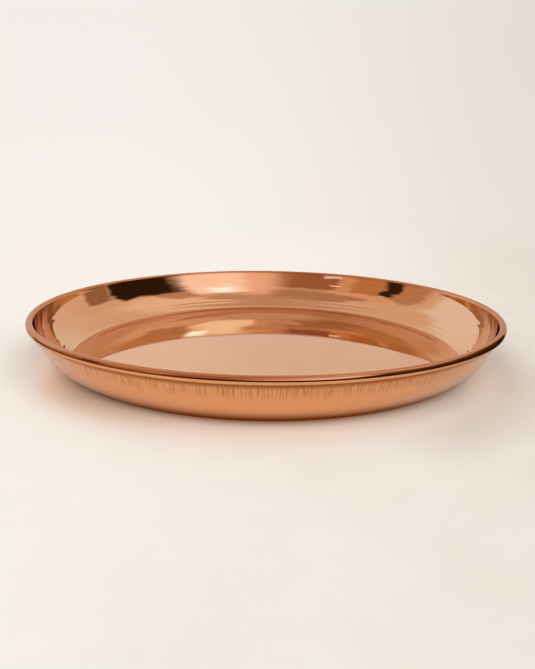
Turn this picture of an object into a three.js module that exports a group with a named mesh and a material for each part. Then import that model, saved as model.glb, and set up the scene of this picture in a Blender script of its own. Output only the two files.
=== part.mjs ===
// Pooja plate: a round dish spun from one copper sheet, with its edge rolled over a hidden rim wire.
// Millimetres, +Z up. The plate stands on z = 0 and is centred on the Z axis.
import * as THREE from 'three';

// The copper sheet
const sheetThickness = 1.0;
const floorRadius = 120.9; // flat floor, out to where the corner begins
const cornerRadius = 17.5; // inside radius between the floor and the wall
const cornerSlope = 35; // degrees from level where the corner meets the wall
const wallRadius = 35; // inside radius of the wall's long sweep
const wallTopSlope = 83.5; // degrees from level where the wall meets the rolled rim
const curlWrap = 290; // degrees the edge is rolled round the wire

// The rim wire
const wireRadius = 0.85;
const wireClearance = 0.35; // between the wire and the sheet rolled round it
const wireButtGap = 1.5; // between the two cut ends of the wire hoop

// Facets
const hoopSegments = 84;
const cornerSteps = 5;
const wallSteps = 8;
const curlSteps = 14;
const wireSides = 10;

const copperColour = 0xc98a63;
const copperRoughness = 0.18;
const wireColour = 0x9a9a98;
const wireRoughness = 0.4;

const level = -90; // direction from an arc's centre straight down, in degrees
const halfTurn = 180;
const radiusAlong = (centre, radius, degrees) => {
  const angle = THREE.MathUtils.degToRad(degrees);
  return new THREE.Vector2(
    centre.x + radius * Math.cos(angle),
    centre.y + radius * Math.sin(angle),
  );
};
const arc = (centre, radius, from, to, steps) =>
  Array.from({ length: steps + 1 }, (_, i) =>
    radiusAlong(centre, radius, from + ((to - from) * i) / steps));

// Sections are drawn with x as the radius and y as the height.
const cornerEnd = level + cornerSlope;
const wallEnd = level + wallTopSlope;
const curlStart = wallEnd + halfTurn;
const curlEnd = curlStart - curlWrap;
const cavityRadius = wireRadius + wireClearance;
const rimRadius = cavityRadius + sheetThickness;
const cornerCentre = new THREE.Vector2(floorRadius, sheetThickness + cornerRadius);
const wallCentre = radiusAlong(cornerCentre, cornerRadius - wallRadius, cornerEnd);
const rimCentre = radiusAlong(wallCentre, wallRadius + rimRadius, wallEnd);

// Up the outside, round the inside of the curl, back over the bead and down the inside.
const outerCorner = arc(cornerCentre, cornerRadius + sheetThickness, level, cornerEnd, cornerSteps);
const outerWall = arc(wallCentre, wallRadius + sheetThickness, cornerEnd, wallEnd, wallSteps);
const curlInside = arc(rimCentre, cavityRadius, curlStart, curlEnd, curlSteps);
const curlOutside = arc(rimCentre, rimRadius, curlEnd, curlStart, curlSteps);
const innerWall = arc(wallCentre, wallRadius, wallEnd, cornerEnd, wallSteps);
const innerCorner = arc(cornerCentre, cornerRadius, cornerEnd, level, cornerSteps);
const sheetSection = [
  new THREE.Vector2(0, 0),
  ...outerCorner,
  ...outerWall.slice(1),
  ...curlInside.slice(1),
  ...curlOutside,
  ...innerWall.slice(1),
  ...innerCorner.slice(1),
  new THREE.Vector2(0, sheetThickness),
];
const sheetGeometry = new THREE.LatheGeometry(sheetSection, hoopSegments);
sheetGeometry.rotateX(Math.PI / 2);

// The wire is one length bent to a hoop; its cut ends face each other across the butt gap.
const gapAngle = wireButtGap / rimCentre.x;
class HoopPath extends THREE.Curve {
  getPoint(t, target = new THREE.Vector3()) {
    const angle = gapAngle / 2 + t * (2 * Math.PI - gapAngle);
    return target.set(
      rimCentre.x * Math.cos(angle),
      rimCentre.x * Math.sin(angle),
      rimCentre.y,
    );
  }
}
const wireSection = new THREE.Shape(
  Array.from({ length: wireSides }, (_, i) =>
    radiusAlong(new THREE.Vector2(), wireRadius, (2 * halfTurn * i) / wireSides)),
);
const wireGeometry = new THREE.ExtrudeGeometry(wireSection, {
  steps: hoopSegments,
  bevelEnabled: false,
  extrudePath: new HoopPath(),
});

const named = (name, geometry, material) => {
  const mesh = new THREE.Mesh(geometry, material);
  mesh.name = name;
  return mesh;
};
const copper = new THREE.MeshStandardMaterial({
  color: copperColour,
  roughness: copperRoughness,
  metalness: 1,
});
const wireMetal = new THREE.MeshStandardMaterial({
  color: wireColour,
  roughness: wireRoughness,
  metalness: 1,
});

const plate = new THREE.Group();
plate.name = 'pooja_plate';
plate.add(named('plate_body', sheetGeometry, copper));
plate.add(named('rim_wire', wireGeometry, wireMetal));

export default plate;
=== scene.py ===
# Pooja plate: a copper dish spun from one sheet, its edge rolled over a steel wire
import math

import bmesh
import bpy
from mathutils import Matrix, Vector


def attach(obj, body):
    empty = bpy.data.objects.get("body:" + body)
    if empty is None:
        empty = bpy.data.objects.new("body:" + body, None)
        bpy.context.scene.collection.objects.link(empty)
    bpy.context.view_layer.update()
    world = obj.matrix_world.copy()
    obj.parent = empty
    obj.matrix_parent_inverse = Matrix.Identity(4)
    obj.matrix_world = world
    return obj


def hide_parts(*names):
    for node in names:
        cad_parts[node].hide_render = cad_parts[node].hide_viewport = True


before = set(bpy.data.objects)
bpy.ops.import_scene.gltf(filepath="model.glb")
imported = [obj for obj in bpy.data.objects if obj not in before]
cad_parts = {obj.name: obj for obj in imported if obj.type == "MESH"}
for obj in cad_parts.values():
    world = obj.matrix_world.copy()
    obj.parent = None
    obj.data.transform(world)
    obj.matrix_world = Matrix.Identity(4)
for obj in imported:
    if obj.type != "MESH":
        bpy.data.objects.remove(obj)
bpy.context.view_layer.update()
print("frame loaded:", ", ".join(sorted(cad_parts)))

mm = 0.001
noiseSpan = (0.3, 0.7)  # most of a noise's values lie between these


def setInputs(tree, node, inputs):
    for name, value in inputs.items():
        if isinstance(value, bpy.types.NodeSocket):
            tree.links.new(value, node.inputs[name])
        else:
            node.inputs[name].default_value = value


def addNode(tree, kind, inputs=None, **settings):
    node = tree.nodes.new(kind)
    for name, value in settings.items():
        setattr(node, name, value)
    setInputs(tree, node, inputs or {})
    return node


def mathNode(tree, operation, *values):
    inputs = dict(enumerate(values))
    return addNode(tree, "ShaderNodeMath", inputs, operation=operation).outputs[0]


def times(tree, product, *factors):
    for factor in factors:
        product = mathNode(tree, "MULTIPLY", product, factor)
    return product


def vectorNode(tree, operation, inputs, output="Vector"):
    return addNode(tree, "ShaderNodeVectorMath", inputs, operation=operation).outputs[output]


def rangeNode(tree, value, low, high, toLow=0.0, toHigh=1.0, smooth=True):
    inputs = {"Value": value, "From Min": low, "From Max": high, "To Min": toLow, "To Max": toHigh}
    kind = "SMOOTHSTEP" if smooth else "LINEAR"
    return addNode(tree, "ShaderNodeMapRange", inputs, interpolation_type=kind).outputs["Result"]


def mixColours(tree, factor, first, second):
    inputs = {0: factor}
    for index, colour in ((6, first), (7, second)):  # the colour pair among the node's inputs
        inputs[index] = (*colour, 1) if isinstance(colour, tuple) else colour
    return addNode(tree, "ShaderNodeMix", inputs, data_type="RGBA").outputs[2]


def noiseNode(tree, vector, scale, detail=2.0, roughness=0.5):
    inputs = {"Vector": vector, "Scale": scale, "Detail": detail, "Roughness": roughness}
    return addNode(tree, "ShaderNodeTexNoise", inputs).outputs["Fac"]


def newMaterial(name):
    material = bpy.data.materials.new(name)
    material.use_nodes = True
    tree = material.node_tree
    shader = tree.nodes["Principled BSDF"]
    place = addNode(tree, "ShaderNodeTexCoord").outputs["Object"]
    return material, tree, shader, place


def showThrough(tree, shader, factor):
    clear = addNode(tree, "ShaderNodeBsdfTransparent").outputs[0]
    blend = addNode(tree, "ShaderNodeMixShader", {0: factor, 1: shader.outputs[0], 2: clear})
    setInputs(tree, tree.nodes["Material Output"], {"Surface": blend.outputs[0]})


def meshFrom(bm, name):
    mesh = bpy.data.meshes.new(name)
    bm.to_mesh(mesh)
    bm.free()
    return mesh


def addObject(name, data):
    thing = bpy.data.objects.new(name, data)
    bpy.context.collection.objects.link(thing)
    return thing


def verticesOf(geometry):
    return [part for part in geometry if isinstance(part, bmesh.types.BMVert)]


# Camera: low, close and a little tilted, as the plate was photographed
cameraView = {
    "distance": 0.3947,  # to the middle of the rim
    "lift": 12.17,  # degrees above the rim's plane
    "pitch": 14.79,
    "yaw": 0.13,
    "roll": 0.70,
    "rimHeight": 0.0286,
    "lens": 31.71,
    "sensor": 36,
    "nearest": 0.01,
}


def makeCamera(view):
    data = bpy.data.cameras.new("photoCamera")
    data.sensor_width = view["sensor"]
    data.lens = view["lens"]
    data.clip_start = view["nearest"]
    camera = addObject("photoCamera", data)
    lift = math.radians(view["lift"])
    spot = Vector((0, -math.cos(lift), math.sin(lift))) * view["distance"]
    spot.z += view["rimHeight"]
    turn = Matrix.Rotation(math.radians(-view["yaw"]), 4, "Z")
    tip = Matrix.Rotation(math.radians(90 - view["pitch"]), 4, "X")
    tilt = Matrix.Rotation(math.radians(view["roll"]), 4, "Z")
    camera.matrix_world = Matrix.Translation(spot) @ turn @ tip @ tilt
    bpy.context.scene.camera = camera


makeCamera(cameraView)
print("camera set")

# Room: soft panels in a pale room, placed by compass turn (0 is behind the plate, 90 to its right)
doorway = (0.032, 0.0135, 0.007)

room = {
    "backdropLeft": (0.930, 0.885, 0.838),
    "backdropRight": (0.800, 0.735, 0.668),
    "backdropAcross": (-0.24, 0.59),  # where the left colour turns into the right one, along X
    "backdropDim": 0.955,  # the backdrop falls off a little towards its top
    "dimmedOver": (-8.0, 18.0),
    "light": (0.40, 0.39, 0.38),  # even light on what isn't mirror-like
    "walls": (0.80, 0.56, 0.52),
    "wobble": 2.2,  # degrees by which the edges of things in the room wander
    "wobbleScale": 4.0,
    "again": (1.0, 1.17, 1.26),  # what the copper mirrors twice, and more often, comes out less red
    "oftener": (1.0, 1.2, 1.15),
    "panels": [  # bounce 1 shows only in the first mirroring, bounce 2 only in later ones
        # backdrop behind the plate, whiter to the left
        {"turn": 26, "lift": 14, "size": (30, 40), "soft": 18, "colour": (0.83, 0.63, 0.63)},
        {"turn": -38, "lift": 16, "size": (48, 40), "soft": 10, "colour": (0.94, 0.83, 0.97)},
        {"turn": 4, "lift": 12, "size": (28, 40), "soft": 20, "colour": (0.85, 0.75, 0.72)},
        {"turn": -10, "lift": 14, "size": (16, 44), "soft": 14, "colour": (0.93, 0.83, 0.82)},
        # ceiling, brighter to both sides, dim to the front left
        {"turn": 0, "lift": 90, "size": (400, 56), "soft": 14, "colour": (0.63, 0.38, 0.34)},
        {"turn": 30, "lift": 58, "size": (50, 12), "soft": 8, "colour": (0.93, 0.69, 0.70)},
        {"turn": 80, "lift": 62, "size": (56, 44), "soft": 14, "colour": (0.98, 0.72, 0.72)},
        {"turn": -78, "lift": 72, "size": (34, 30), "soft": 12, "colour": (0.84, 0.58, 0.55)},
        {"turn": -138, "lift": 60, "size": (84, 24), "soft": 8, "colour": (0.52, 0.28, 0.23)},
        # front, behind the camera
        {"turn": -150, "lift": 16, "size": (50, 56), "soft": 14, "colour": (0.38, 0.165, 0.115)},
        {"turn": 169, "lift": 28, "size": (32, 70), "soft": 30, "colour": (1.06, 0.67, 0.66)},
        # left: a brown corner, an amber curtain, the dark gap beside it and two small lights
        {"turn": -84, "lift": 16, "size": (22, 42), "soft": 8, "colour": (0.57, 0.30, 0.21)},
        {"turn": -110, "lift": 43, "size": (50, 10), "soft": 6, "colour": (0.82, 0.49, 0.38)},
        {"turn": -128, "lift": 18, "size": (12, 48), "soft": 5, "colour": (0.76, 0.42, 0.32)},
        {"turn": -113, "lift": 18, "size": (22, 42), "soft": 5, "colour": (0.59, 0.27, 0.13)},
        {"turn": -97.5, "lift": 13, "size": (11, 40), "soft": 4, "colour": (0.05, 0.018, 0.008), "bounce": 1},
        {"turn": -135, "lift": 30, "size": (8, 5), "soft": 2, "colour": (1.25, 1.0, 1.05)},
        {"turn": -138, "lift": 7, "size": (9, 4), "soft": 2, "colour": (1.0, 0.82, 1.0)},
        # right: a brown lintel and post, the window, a dark doorway and the slit beside the post
        {"turn": 109, "lift": 45, "size": (26, 26), "soft": 8, "colour": (0.58, 0.35, 0.30)},
        {"turn": 66, "lift": 6, "size": (18, 36), "soft": 5, "colour": (0.36, 0.19, 0.14)},
        {"turn": 145, "lift": 23, "size": (42, 68), "soft": 12, "softUp": 5, "colour": (1.21, 0.98, 1.12)},
        {"turn": 145, "lift": 47, "size": (20, 19), "soft": 14, "softUp": 7, "colour": (1.25, 1.5, 2.2)},
        {"turn": 94, "lift": 13, "size": (38, 44), "soft": 6, "colour": doorway, "bounce": 1},
        {"turn": 106, "lift": 15, "size": (30, 50), "soft": 16, "softUp": 8, "colour": doorway, "bounce": 1},
        {"turn": 74, "lift": 8, "size": (1.4, 30), "soft": 1, "colour": (0.55, 0.31, 0.21)},
        # what the copper mirrors of the room by way of the copper opposite
        {"turn": 0, "lift": 86, "size": (400, 20), "soft": 10, "colour": (0.82, 0.60, 0.57), "bounce": 2},
        {"turn": -86, "lift": 52, "size": (46, 34), "soft": 14, "colour": (0.64, 0.37, 0.24), "bounce": 2},
        {"turn": -90, "lift": 68, "size": (44, 14), "soft": 8, "colour": (0.48, 0.27, 0.18), "bounce": 2},
        {"turn": -168, "lift": 66, "size": (40, 16), "soft": 12, "colour": (0.80, 0.54, 0.54), "bounce": 2},
        {"turn": 178, "lift": 44, "size": (30, 18), "soft": 12, "colour": (0.78, 0.50, 0.46), "bounce": 2},
        {"turn": 139, "lift": 62, "size": (56, 20), "soft": 12, "colour": (1.35, 1.28, 1.65), "bounce": 2},
        {"turn": 92, "lift": 46, "size": (26, 20), "soft": 8, "colour": (0.66, 0.39, 0.31), "bounce": 2},
        {"turn": 98, "lift": 24, "size": (46, 30), "soft": 8, "colour": (0.72, 0.42, 0.30), "bounce": 2},
        {"turn": 145, "lift": 46, "size": (26, 36), "soft": 16, "colour": (1.35, 1.35, 1.7), "bounce": 2},
        {"turn": 132, "lift": 36, "size": (12, 10), "soft": 6, "colour": (1.7, 2.7, 4.6), "bounce": 2},
        {"turn": 68, "lift": 2, "size": (46, 20), "soft": 10, "colour": (0.32, 0.18, 0.13), "bounce": 2},
        {"turn": -66, "lift": 2, "size": (50, 20), "soft": 8, "colour": (0.52, 0.33, 0.29), "bounce": 2},
        # the unlit room below the table's edge, everywhere but behind the plate
        {"turn": 180, "lift": -10, "size": (270, 16), "soft": 5, "colour": (0.30, 0.17, 0.12)},
        {"turn": 180, "lift": -8, "size": (150, 23), "soft": 5, "colour": (0.04, 0.022, 0.014)},
    ],
}


def softPanel(tree, turn, lift, under, panel, bounces):
    away = mathNode(tree, "SUBTRACT", turn, panel["turn"])
    away = mathNode(tree, "ABSOLUTE", mathNode(tree, "WRAP", away, -180.0, 180.0))
    above = mathNode(tree, "ABSOLUTE", mathNode(tree, "SUBTRACT", lift, panel["lift"]))
    softEdges = (panel["soft"], panel.get("softUp", panel["soft"]))
    masks = []
    for value, size, soft in zip((away, above), panel["size"], softEdges):
        masks.append(rangeNode(tree, value, (size + soft) / 2, (size - soft) / 2))
    if "bounce" in panel:
        masks.append(bounces[panel["bounce"]])
    return mixColours(tree, times(tree, *masks), under, panel["colour"])


def roomDirections(tree, look, way, parts):
    # compass turn and lift of a direction in degrees, both wandering a little
    turn = mathNode(tree, "DEGREES", mathNode(tree, "ARCTAN2", parts["X"], parts["Y"]))
    lift = mathNode(tree, "DEGREES", mathNode(tree, "ARCSINE", parts["Z"]))
    noise = {"Vector": way, "Scale": look["wobbleScale"], "Detail": 1.0}
    wander = addNode(tree, "ShaderNodeTexNoise", noise).outputs["Color"]
    sway = addNode(tree, "ShaderNodeSeparateColor", {0: wander}).outputs
    span = (*noiseSpan, -look["wobble"], look["wobble"])
    turn = mathNode(tree, "ADD", turn, rangeNode(tree, sway[0], *span, smooth=False))
    lift = mathNode(tree, "ADD", lift, rangeNode(tree, sway[1], *span, smooth=False))
    return turn, lift


def mirroredRoom(tree, look, turn, lift, depth):
    # depth counts how often the metal has mirrored a ray
    later = mathNode(tree, "GREATER_THAN", depth, 1.5)
    third = mathNode(tree, "GREATER_THAN", depth, 2.5)
    bounces = {1: mathNode(tree, "SUBTRACT", 1.0, later), 2: later}
    walls = look["walls"]
    for panel in look["panels"]:
        walls = softPanel(tree, turn, lift, walls, panel, bounces)
    for factor, tint in ((later, look["again"]), (third, look["oftener"])):
        paler = vectorNode(tree, "MULTIPLY", {0: walls, 1: tint})
        walls = mixColours(tree, factor, walls, paler)
    return walls


def seenBackdrop(tree, look, across, lift):
    side = rangeNode(tree, across, *look["backdropAcross"])
    colour = mixColours(tree, side, look["backdropLeft"], look["backdropRight"])
    dimming = rangeNode(tree, lift, *look["dimmedOver"], 1.0, look["backdropDim"])
    return vectorNode(tree, "SCALE", {0: colour, "Scale": dimming})


def makeRoom(look):
    world = bpy.data.worlds.new("studioRoom")
    world.use_nodes = True
    tree = world.node_tree
    way = addNode(tree, "ShaderNodeTexCoord").outputs["Generated"]
    parts = addNode(tree, "ShaderNodeSeparateXYZ", {0: way}).outputs
    rays = addNode(tree, "ShaderNodeLightPath").outputs
    turn, lift = roomDirections(tree, look, way, parts)
    walls = mirroredRoom(tree, look, turn, lift, rays["Glossy Depth"])
    backdrop = seenBackdrop(tree, look, parts["X"], lift)
    seen = mixColours(tree, rays["Is Camera Ray"], look["light"], backdrop)
    seen = mixColours(tree, rays["Is Glossy Ray"], seen, walls)
    setInputs(tree, tree.nodes["Background"], {"Color": seen})
    bpy.context.scene.world = world


keyLights = [
    {"turn": 143, "lift": 41, "power": 1.42, "spread": 50, "colour": (1.0, 0.985, 0.96)},
    {"turn": -150, "lift": 38, "power": 1.6, "spread": 50, "colour": (1.0, 0.985, 0.96)},
]


def makeKeyLight(look):
    data = bpy.data.lights.new("softWindow", "SUN")
    data.energy = look["power"]
    data.color = look["colour"]
    data.angle = math.radians(look["spread"])
    lamp = addObject("softWindow", data)
    lamp.rotation_euler = (math.radians(90 - look["lift"]), 0, math.radians(180 - look["turn"]))
    lamp.visible_glossy = False  # the room's own panels make the reflections


makeRoom(room)
for keyLight in keyLights:
    makeKeyLight(keyLight)
print("room lit")

# Floor: a pale mottled tabletop that fades out into the backdrop, with light and shadow painted on it round
# the plate
tabletop = {
    "radius": 3.0,
    "sides": 96,
    "fade": (0.3, 1.4),  # distances over which it fades out
    "mirroredTo": (0.26, 0.30),  # past these the metal doesn't mirror it, as if the table ended
    # painted lighter to the left and darker to the right, standing in for the fall of light across the table
    "left": (0.930, 0.895, 0.845),
    "right": (0.780, 0.718, 0.655),
    "leftToRight": (-0.08, 0.32),
    "slant": -0.25,  # how far the line between left and right leans
    "mottleScale": 22.0,
    "mottleSpan": (0.25, 0.75),
    "mottle": 0.05,  # how far the mottling moves that line
    "roughness": 0.9,
    "specular": 0.1,
    # painted warm light round the plate's foot, standing in for what the copper throws down
    "glow": (0.90, 0.785, 0.685),
    "glowLeft": (0.79, 0.56, 0.39),
    "glowReach": (0.166, 0.128),  # distances from the plate's axis
    "glowMirrored": 0.5,  # how much of it the metal mirrors
    "glowTurns": (-0.11, -0.02),  # along X, from glowLeft to glow
    "glowRightEnd": (0.03, 0.13),  # and where it gives out
    "glowLeftEnd": (-0.115, -0.14),
    # and painted light that it adds by glowing in the shade, close to the foot and at the plate's two ends
    "shine": (1.0, 0.52, 0.27),
    "shinePower": 0.15,
    "shineReach": (0.144, 0.122),
    "shineRight": 0.4,  # what is left of it to the right
    "endPower": 0.17,
    "endReach": (0.158, 0.134),
    "endAcross": (0.095, 0.13),
    # a painted wide soft shadow to the front right
    "shadow": (0.73, 0.655, 0.58),
    "shadowInner": (0.142, 0.156),
    "shadowOuter": (0.195, 0.16),
    "shadowAcross": (0.055, 0.10),
    "shadowForward": (0.0, -0.08),
}


# the table's colour, painted lighter to the left and darker to the right
def tableColour(tree, look, place, spot):
    mottle = noiseNode(tree, place, look["mottleScale"], detail=5.0, roughness=0.65)
    blotch = rangeNode(tree, mottle, *look["mottleSpan"], -look["mottle"], look["mottle"], smooth=False)
    slanted = mathNode(tree, "MULTIPLY_ADD", spot["Y"], look["slant"], spot["X"])
    across = rangeNode(tree, mathNode(tree, "ADD", slanted, blotch), *look["leftToRight"])
    return mixColours(tree, across, look["left"], look["right"])


# where the painted shadow lies
def shadowMask(tree, look, spot, flat):
    inner = rangeNode(tree, flat, *look["shadowInner"])
    outer = rangeNode(tree, flat, *look["shadowOuter"])
    across = rangeNode(tree, spot["X"], *look["shadowAcross"])
    forward = rangeNode(tree, spot["Y"], *look["shadowForward"])
    return times(tree, inner, outer, across, forward)


# the colour of the painted warm light round the foot
def thrownColour(tree, look, across):
    thrown = mixColours(tree, rangeNode(tree, across, *look["glowTurns"]), look["glowLeft"], look["glow"])
    thrown = mixColours(tree, rangeNode(tree, across, *look["glowRightEnd"]), thrown, look["right"])
    return mixColours(tree, rangeNode(tree, across, *look["glowLeftEnd"]), thrown, look["left"])


# painted light: the table glows close to the foot and at the plate's two ends
def thrownLight(tree, look, across, flat, direct):
    near = rangeNode(tree, flat, *look["shineReach"], 0.0, look["shinePower"])
    rightwards = rangeNode(tree, across, *look["glowRightEnd"], 1.0, look["shineRight"])
    near = times(tree, near, rightwards, rangeNode(tree, across, *look["glowTurns"]))
    sideways = mathNode(tree, "ABSOLUTE", across)
    ends = rangeNode(tree, sideways, *look["endAcross"], 0.0, look["endPower"])
    ends = times(tree, ends, rangeNode(tree, flat, *look["endReach"]), direct)
    return mathNode(tree, "ADD", near, ends)


def paleTabletop(look):
    material, tree, shader, place = newMaterial("paleTabletop")
    spot = addNode(tree, "ShaderNodeSeparateXYZ", {0: place}).outputs
    flat = vectorNode(tree, "LENGTH", {0: place}, "Value")
    mirrored = addNode(tree, "ShaderNodeLightPath").outputs["Is Glossy Ray"]
    direct = mathNode(tree, "SUBTRACT", 1.0, mirrored)
    shadow = times(tree, shadowMask(tree, look, spot, flat), direct)
    colour = mixColours(tree, shadow, tableColour(tree, look, place, spot), look["shadow"])
    glow = rangeNode(tree, flat, *look["glowReach"])
    glow = times(tree, glow, rangeNode(tree, mirrored, 0.0, 1.0, 1.0, look["glowMirrored"]))
    setInputs(tree, shader, {
        "Base Color": mixColours(tree, glow, colour, thrownColour(tree, look, spot["X"])),
        "Roughness": look["roughness"],
        "Specular IOR Level": look["specular"],
        "Emission Color": (*look["shine"], 1),
        "Emission Strength": thrownLight(tree, look, spot["X"], flat, direct),
    })
    ended = times(tree, rangeNode(tree, flat, *look["mirroredTo"]), mirrored)
    showThrough(tree, shader, mathNode(tree, "MAXIMUM", rangeNode(tree, flat, *look["fade"]), ended))
    return material


def makeTabletop(look):
    bm = bmesh.new()
    bmesh.ops.create_circle(bm, cap_ends=True, segments=look["sides"], radius=look["radius"])
    mesh = meshFrom(bm, "tabletop")
    mesh.materials.append(paleTabletop(look))
    top = addObject("tabletop", mesh)


# Screen: low dark things round the front of the table, seen only in reflections: painted dark reflections in
# the rim and the outside
screen = {
    "radius": 0.21,
    "from": 96,  # compass turns between which it stands
    "to": 264,
    "steps": 60,
    "front": 0.042,  # height in front of the plate
    "right": 0.085,
    "riseFrom": 0.3,  # to the right, as a share of the radius
    "riseSlope": 3,
    "closer": 0.16,  # how much nearer it stands on the right
    "leftColour": (0.20, 0.10, 0.06),
    "rightColour": (0.045, 0.024, 0.015),
    "leftToRight": (-0.16, -0.04),
    "upperColour": (0.17, 0.085, 0.055),
    "upperFrom": (0.040, 0.056),
    "farthest": 0.17,  # so that it doesn't show in the dish
}


def darkScreen(look):
    material, tree, _, place = newMaterial("darkScreen")
    spot = addNode(tree, "ShaderNodeSeparateXYZ", {0: place}).outputs
    across = rangeNode(tree, spot["X"], *look["leftToRight"])
    colour = mixColours(tree, across, look["leftColour"], look["rightColour"])
    upper = rangeNode(tree, spot["Z"], *look["upperFrom"])
    colour = mixColours(tree, upper, colour, look["upperColour"])
    length = addNode(tree, "ShaderNodeLightPath").outputs["Ray Length"]
    far = mathNode(tree, "GREATER_THAN", length, look["farthest"])
    showThrough(tree, addNode(tree, "ShaderNodeEmission", {"Color": colour}), far)
    return material


def makeScreen(look):
    bm = bmesh.new()
    foot = bm.verts.new((0, look["radius"], 0))
    start = Matrix.Rotation(math.radians(-look["from"]), 3, "Z")
    bmesh.ops.rotate(bm, verts=[foot], matrix=start)
    sweep = math.radians(look["from"] - look["to"])
    bmesh.ops.spin(bm, geom=[foot], axis=(0, 0, 1), angle=sweep, steps=look["steps"])
    for vert in bm.verts:
        vert.co.x *= 1 - look["closer"] * max(0, vert.co.x / look["radius"])
    made = bmesh.ops.extrude_edge_only(bm, edges=bm.edges)
    for vert in verticesOf(made["geom"]):
        rise = (vert.co.x / look["radius"] - look["riseFrom"]) * look["riseSlope"]
        vert.co.z = look["front"] + (look["right"] - look["front"]) * min(1, max(0, rise))
    mesh = meshFrom(bm, "screen")
    mesh.materials.append(darkScreen(look))
    standing = addObject("screen", mesh)
    # seen only in reflections, as painted dark reflections
    standing.visible_camera = False
    standing.visible_diffuse = False
    standing.visible_shadow = False


makeTabletop(tabletop)
makeScreen(screen)
print("tabletop laid")

# Plate: the inside face drawn as one line, spun round the axis and given the sheet's thickness
plateShape = {
    "sheet": 1.0 * mm,
    "floorRadius": 120.9 * mm,
    "floorEdges": (1.5 * mm, 0.4 * mm),  # close rings that keep the floor flat up to the corner
    "cornerRadius": 17.5 * mm,
    "cornerSlope": 35,
    "wallRadius": 35 * mm,
    "wallTopSlope": 83.5,
    "beadRadius": 2.18 * mm,
    "beadFaces": 1.01,  # faces within this many bead radii of the bead's middle belong to it
    "curlWrap": 290,
    "floorRings": 11,
    "cornerSteps": 16,
    "wallSteps": 30,
    "curlSteps": 36,
    "roundSteps": 320,
}
polishedSlot, satinSlot, rimSlot = range(3)


def spinPoint(bm, point, centre, degrees, steps):
    # turns the line's last point round a centre in the section's plane, anticlockwise when positive
    made = bmesh.ops.spin(
        bm, geom=[point], cent=centre, axis=(0, -1, 0), angle=math.radians(degrees), steps=steps
    )
    return verticesOf(made["geom_last"])[0]


def drawPoint(bm, point, reach):
    made = bmesh.ops.extrude_vert_indiv(bm, verts=[point])
    made["verts"][0].co.x = reach
    return made["verts"][0], made["edges"][0]


def towards(degrees):
    return Vector((math.cos(math.radians(degrees)), 0, math.sin(math.radians(degrees))))


def drawSection(bm, shape):
    cornerCentre = Vector((shape["floorRadius"], 0, shape["sheet"] + shape["cornerRadius"]))
    cornerEnd = shape["cornerSlope"] - 90
    wallEnd = shape["wallTopSlope"] - 90
    wallCentre = cornerCentre + towards(cornerEnd) * (shape["cornerRadius"] - shape["wallRadius"])
    beadCentre = wallCentre + towards(wallEnd) * (shape["wallRadius"] + shape["beadRadius"])
    innerRing, outerRing = shape["floorEdges"]
    point = bm.verts.new((0, 0, shape["sheet"]))
    point, floorLine = drawPoint(bm, point, shape["floorRadius"] - innerRing)
    point, _ = drawPoint(bm, point, shape["floorRadius"] - outerRing)
    point, _ = drawPoint(bm, point, shape["floorRadius"])
    point = spinPoint(bm, point, cornerCentre, shape["cornerSlope"], shape["cornerSteps"])
    sweep = shape["wallTopSlope"] - shape["cornerSlope"]
    point = spinPoint(bm, point, wallCentre, sweep, shape["wallSteps"])
    spinPoint(bm, point, beadCentre, -shape["curlWrap"], shape["curlSteps"])
    bmesh.ops.subdivide_edges(bm, edges=[floorLine], cuts=shape["floorRings"])
    return beadCentre


def spinSection(bm, steps):
    bmesh.ops.spin(
        bm, geom=bm.verts[:] + bm.edges[:], axis=(0, 0, 1), angle=math.tau, steps=steps, use_merge=True
    )
    bmesh.ops.remove_doubles(bm, verts=bm.verts, dist=0.001 * mm)
    bmesh.ops.recalc_face_normals(bm, faces=bm.faces)
    bm.faces.ensure_lookup_table()
    floorFace = min(bm.faces, key=lambda face: face.calc_center_median().length)
    if floorFace.normal.z < 0:
        bmesh.ops.reverse_faces(bm, faces=bm.faces)


def makePlate(shape):
    bm = bmesh.new()
    beadCentre = drawSection(bm, shape)
    spinSection(bm, shape["roundSteps"])
    beadReach = shape["beadRadius"] * shape["beadFaces"]
    for face in bm.faces:
        face.smooth = True
        middle = face.calc_center_median()
        beyond = math.hypot(middle.xy.length - beadCentre.x, middle.z - beadCentre.z)
        face.material_index = rimSlot if beyond < beadReach else polishedSlot
    plate = addObject("copperPlate", meshFrom(bm, "copperPlate"))
    wall = plate.modifiers.new("sheetThickness", "SOLIDIFY")
    wall.thickness = shape["sheet"]
    wall.offset = -1
    wall.use_even_offset = True
    wall.material_offset = satinSlot
    wall.material_offset_rim = satinSlot
    return plate


def roundPlace(tree, place):
    # distance from the plate's axis, height, and compass direction seen from the axis
    flat = vectorNode(tree, "MULTIPLY", {0: place, 1: (1, 1, 0)})
    radius = vectorNode(tree, "LENGTH", {0: flat}, "Value")
    compass = vectorNode(tree, "NORMALIZE", {0: flat})
    height = addNode(tree, "ShaderNodeSeparateXYZ", {0: place}).outputs["Z"]
    return radius, height, compass


def ringNoise(tree, along, scale, detail=2.0):
    inputs = {"W": along, "Scale": scale, "Detail": detail}
    return addNode(tree, "ShaderNodeTexNoise", inputs, noise_dimensions="1D").outputs["Fac"]


def raised(tree, height, distance, under=None):
    inputs = {"Height": height, "Distance": distance, "Strength": 1.0}
    if under is not None:
        inputs["Normal"] = under
    return addNode(tree, "ShaderNodeBump", inputs).outputs["Normal"]


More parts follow.
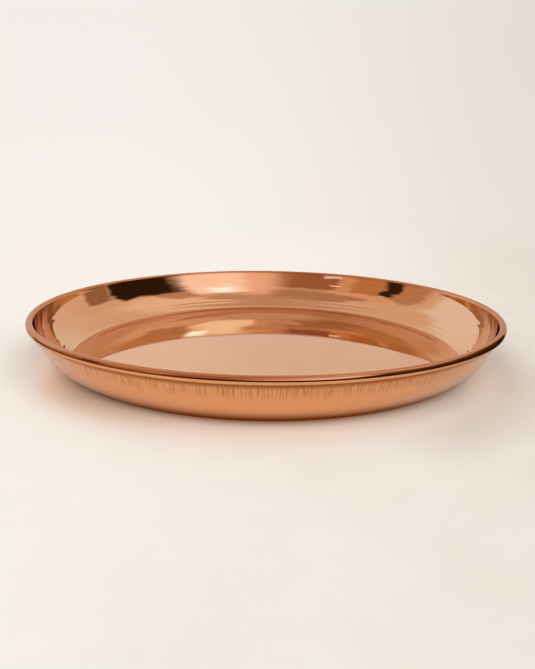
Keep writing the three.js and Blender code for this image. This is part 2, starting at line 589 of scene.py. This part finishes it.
polishedLook = {
    "colour": (0.80, 0.535, 0.285),
    "dulled": (0.76, 0.485, 0.245),
    "paleCorner": (0.80, 0.56, 0.31),  # painted reflection: paler copper round the corner, so that what it mirrors there comes out less red
    "speck": (0.30, 0.15, 0.07),
    "edge": (0.95, 0.83, 0.86),
    "roughness": (0.025, 0.06),  # clean and smudged
    "smudgeScale": 30.0,
    "smudgeDulls": (0.4, 0.75),
    "smudgeBlurs": (0.35, 0.7),
    "speckScale": 620.0,
    "speckSpan": (0.80, 0.84),
    "speckRoughness": 0.3,
    "wave": 0.35 * mm,  # slow waves left in the sheet by the spinning
    "waveScale": 15.0,
    "ring": 0.004 * mm,  # polishing rings
    "ringScale": 900.0,
    "ringDulls": (0.35, 0.65),
    "cornerFrom": (112 * mm, 119 * mm),
    "cornerTo": (132 * mm, 125 * mm),
    "toolRings": [  # radius, width and height of the marks left by the spinning tool
        (121.5 * mm, 3.4 * mm, 0.12 * mm),
        (126.5 * mm, 1.8 * mm, -0.05 * mm),
        (129.6 * mm, 1.2 * mm, 0.04 * mm),
        (132.9 * mm, 1.5 * mm, 0.12 * mm),
        (136.6 * mm, 1.2 * mm, 0.03 * mm),
        (142.9 * mm, 0.9 * mm, 0.04 * mm),
    ],
}


def toolRings(tree, radius, rings):
    total = 0.0
    for middle, width, rise in rings:
        away = mathNode(tree, "ABSOLUTE", mathNode(tree, "SUBTRACT", radius, middle))
        total = mathNode(tree, "ADD", rangeNode(tree, away, width, 0.0, 0.0, rise), total)
    return total


def polishedCopper(look):
    material, tree, shader, place = newMaterial("polishedCopper")
    radius, _, _ = roundPlace(tree, place)
    smudge = noiseNode(tree, place, look["smudgeScale"], detail=4.0, roughness=0.6)
    rings = ringNoise(tree, radius, look["ringScale"])
    dulled = rangeNode(tree, smudge, *look["smudgeDulls"])
    dulled = times(tree, dulled, rangeNode(tree, rings, *look["ringDulls"]))
    colour = mixColours(tree, dulled, look["colour"], look["dulled"])
    # painted reflection: a paler tint round the corner
    corner = rangeNode(tree, radius, *look["cornerFrom"])
    corner = times(tree, corner, rangeNode(tree, radius, *look["cornerTo"]))
    colour = mixColours(tree, corner, colour, look["paleCorner"])
    specks = rangeNode(tree, noiseNode(tree, place, look["speckScale"], detail=1.0), *look["speckSpan"])
    rough = rangeNode(tree, smudge, *look["smudgeBlurs"], *look["roughness"])
    normal = raised(tree, noiseNode(tree, place, look["waveScale"], detail=1.0), look["wave"])
    normal = raised(tree, toolRings(tree, radius, look["toolRings"]), 1.0, normal)
    setInputs(tree, shader, {
        "Base Color": mixColours(tree, specks, colour, look["speck"]),
        "Roughness": mathNode(tree, "MULTIPLY_ADD", specks, look["speckRoughness"], rough),
        "Normal": raised(tree, rings, look["ring"], normal),
        "Metallic": 1,
        "Specular Tint": (*look["edge"], 1),
    })
    return material


rimLook = {
    "colour": (0.79, 0.375, 0.17),
    "paintedDarkTop": (0.60, 0.30, 0.135),  # painted shade: the bead darker on top, standing in for darker reflections there
    "worn": (0.62, 0.33, 0.15),
    "paintedDarkTopFrom": (28.6 * mm, 29.8 * mm),
    "edge": (0.80, 0.69, 0.63),
    "roughness": (0.064, 0.1),
    "wearScale": 60.0,
    "wearSpan": (0.4, 0.7),
    "line": 0.006 * mm,  # rolling lines along the bead
    "lineScale": 2600.0,
    "lineSlant": 0.7,
}


def rimCopper(look):
    material, tree, shader, place = newMaterial("rimCopper")
    radius, height, _ = roundPlace(tree, place)
    across = mathNode(tree, "MULTIPLY_ADD", radius, look["lineSlant"], height)
    lines = ringNoise(tree, across, look["lineScale"], detail=1.0)
    wear = noiseNode(tree, place, look["wearScale"], detail=3.0, roughness=0.6)
    paintedDarkTop = mixColours(tree, rangeNode(tree, wear, *look["wearSpan"]), look["paintedDarkTop"], look["worn"])
    # painted shade: the top of the bead darker
    upper = rangeNode(tree, height, *look["paintedDarkTopFrom"])
    setInputs(tree, shader, {
        "Base Color": mixColours(tree, upper, look["colour"], paintedDarkTop),
        "Roughness": rangeNode(tree, wear, *noiseSpan, *look["roughness"]),
        "Normal": raised(tree, lines, look["line"]),
        "Metallic": 1,
        "Specular Tint": (*look["edge"], 1),
    })
    return material


satinLook = {
    "colour": (0.80, 0.362, 0.148),
    "paintedBeadShade": (0.31, 0.088, 0.024),  # painted shade under the bead
    "paintedBeadShadeFrom": (22.8 * mm, 25.8 * mm),
    "foot": (0.33, 0.105, 0.031),  # and painted shade close to the table, standing in for the shadow under the plate that the foot mirrors
    "footFrom": (13.2 * mm, 2 * mm),
    "edge": (1.0, 1.0, 1.0),
    # the edge tint is darkened near the table too, as part of that painted shade
    "footEdge": (0.45, 0.25, 0.12),
    "roughness": (0.18, 0.25),
    "lacquer": 0.5,
    "lacquerRoughness": 0.2,
    "grain": 0.002 * mm,
    "grainScale": 900.0,
    # fine upright lines below the bead
    "hairline": (0.38, 0.128, 0.042),
    "hairStrength": 0.75,
    "hairDepth": -0.008 * mm,
    "hairScale": 720.0,
    "hairSpan": (0.46, 0.59),
    "hairStretch": 0.09,  # how little the pattern changes up the wall
    "hairFoot": 12.5 * mm,  # lowest end of a line
    "hairRagged": 9 * mm,  # and how much higher others end
    "hairFade": 5 * mm,
    "raggedScale": 14.0,
}


def hairlines(tree, look, around, height):
    hairs = rangeNode(tree, noiseNode(tree, around, look["hairScale"], detail=1.0), *look["hairSpan"])
    ragged = noiseNode(tree, around, look["raggedScale"], detail=3.0, roughness=0.7)
    lower = mathNode(tree, "MULTIPLY_ADD", ragged, look["hairRagged"], look["hairFoot"])
    reach = rangeNode(tree, mathNode(tree, "SUBTRACT", height, lower), 0.0, look["hairFade"])
    return times(tree, hairs, reach, look["hairStrength"])


def satinCopper(look):
    material, tree, shader, place = newMaterial("satinCopper")
    _, height, compass = roundPlace(tree, place)
    upright = addNode(tree, "ShaderNodeCombineXYZ", {"Z": times(tree, height, look["hairStretch"])})
    around = vectorNode(tree, "ADD", {0: compass, 1: upright.outputs[0]})
    hairs = hairlines(tree, look, around, height)
    grain = noiseNode(tree, around, look["grainScale"], detail=2.0, roughness=0.6)
    # painted shade under the bead
    paintedBeadShade = rangeNode(tree, height, *look["paintedBeadShadeFrom"])
    # painted shade close to the table
    foot = rangeNode(tree, height, *look["footFrom"])
    colour = mixColours(tree, paintedBeadShade, look["colour"], look["paintedBeadShade"])
    colour = mixColours(tree, hairs, colour, look["hairline"])
    # no lacquer where shade is painted
    paintedShadeZones = mathNode(tree, "MAXIMUM", paintedBeadShade, foot)
    setInputs(tree, shader, {
        "Base Color": mixColours(tree, foot, colour, look["foot"]),
        "Specular Tint": mixColours(tree, foot, look["edge"], look["footEdge"]),
        "Roughness": rangeNode(tree, grain, *noiseSpan, *look["roughness"]),
        "Normal": raised(tree, hairs, look["hairDepth"], raised(tree, grain, look["grain"])),
        "Metallic": 1,
        "Coat Weight": rangeNode(tree, paintedShadeZones, 0.0, 1.0, look["lacquer"], 0.0),
        "Coat Roughness": look["lacquerRoughness"],
    })
    return material


wireLook = {
    "dark": (0.48, 0.48, 0.47),
    "light": (0.62, 0.62, 0.60),
    "roughness": (0.3, 0.5),
    "dullScale": 900.0,
}


def drawnWire(look):
    material, tree, shader, place = newMaterial("drawnWire")
    dull = noiseNode(tree, place, look["dullScale"], detail=3.0)
    setInputs(tree, shader, {
        "Base Color": mixColours(tree, dull, look["dark"], look["light"]),
        "Roughness": rangeNode(tree, dull, *noiseSpan, *look["roughness"]),
        "Metallic": 1,
    })
    return material


plate = makePlate(plateShape)
plate.data.materials.append(polishedCopper(polishedLook))
plate.data.materials.append(satinCopper(satinLook))
plate.data.materials.append(rimCopper(rimLook))
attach(plate, "root")
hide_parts("plate_body")
print("plate spun")

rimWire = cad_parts["rim_wire"]
rimWire.data.materials.clear()
rimWire.data.materials.append(drawnWire(wireLook))
print("rim wire finished")

bpy.context.scene.view_settings.view_transform = "Standard"
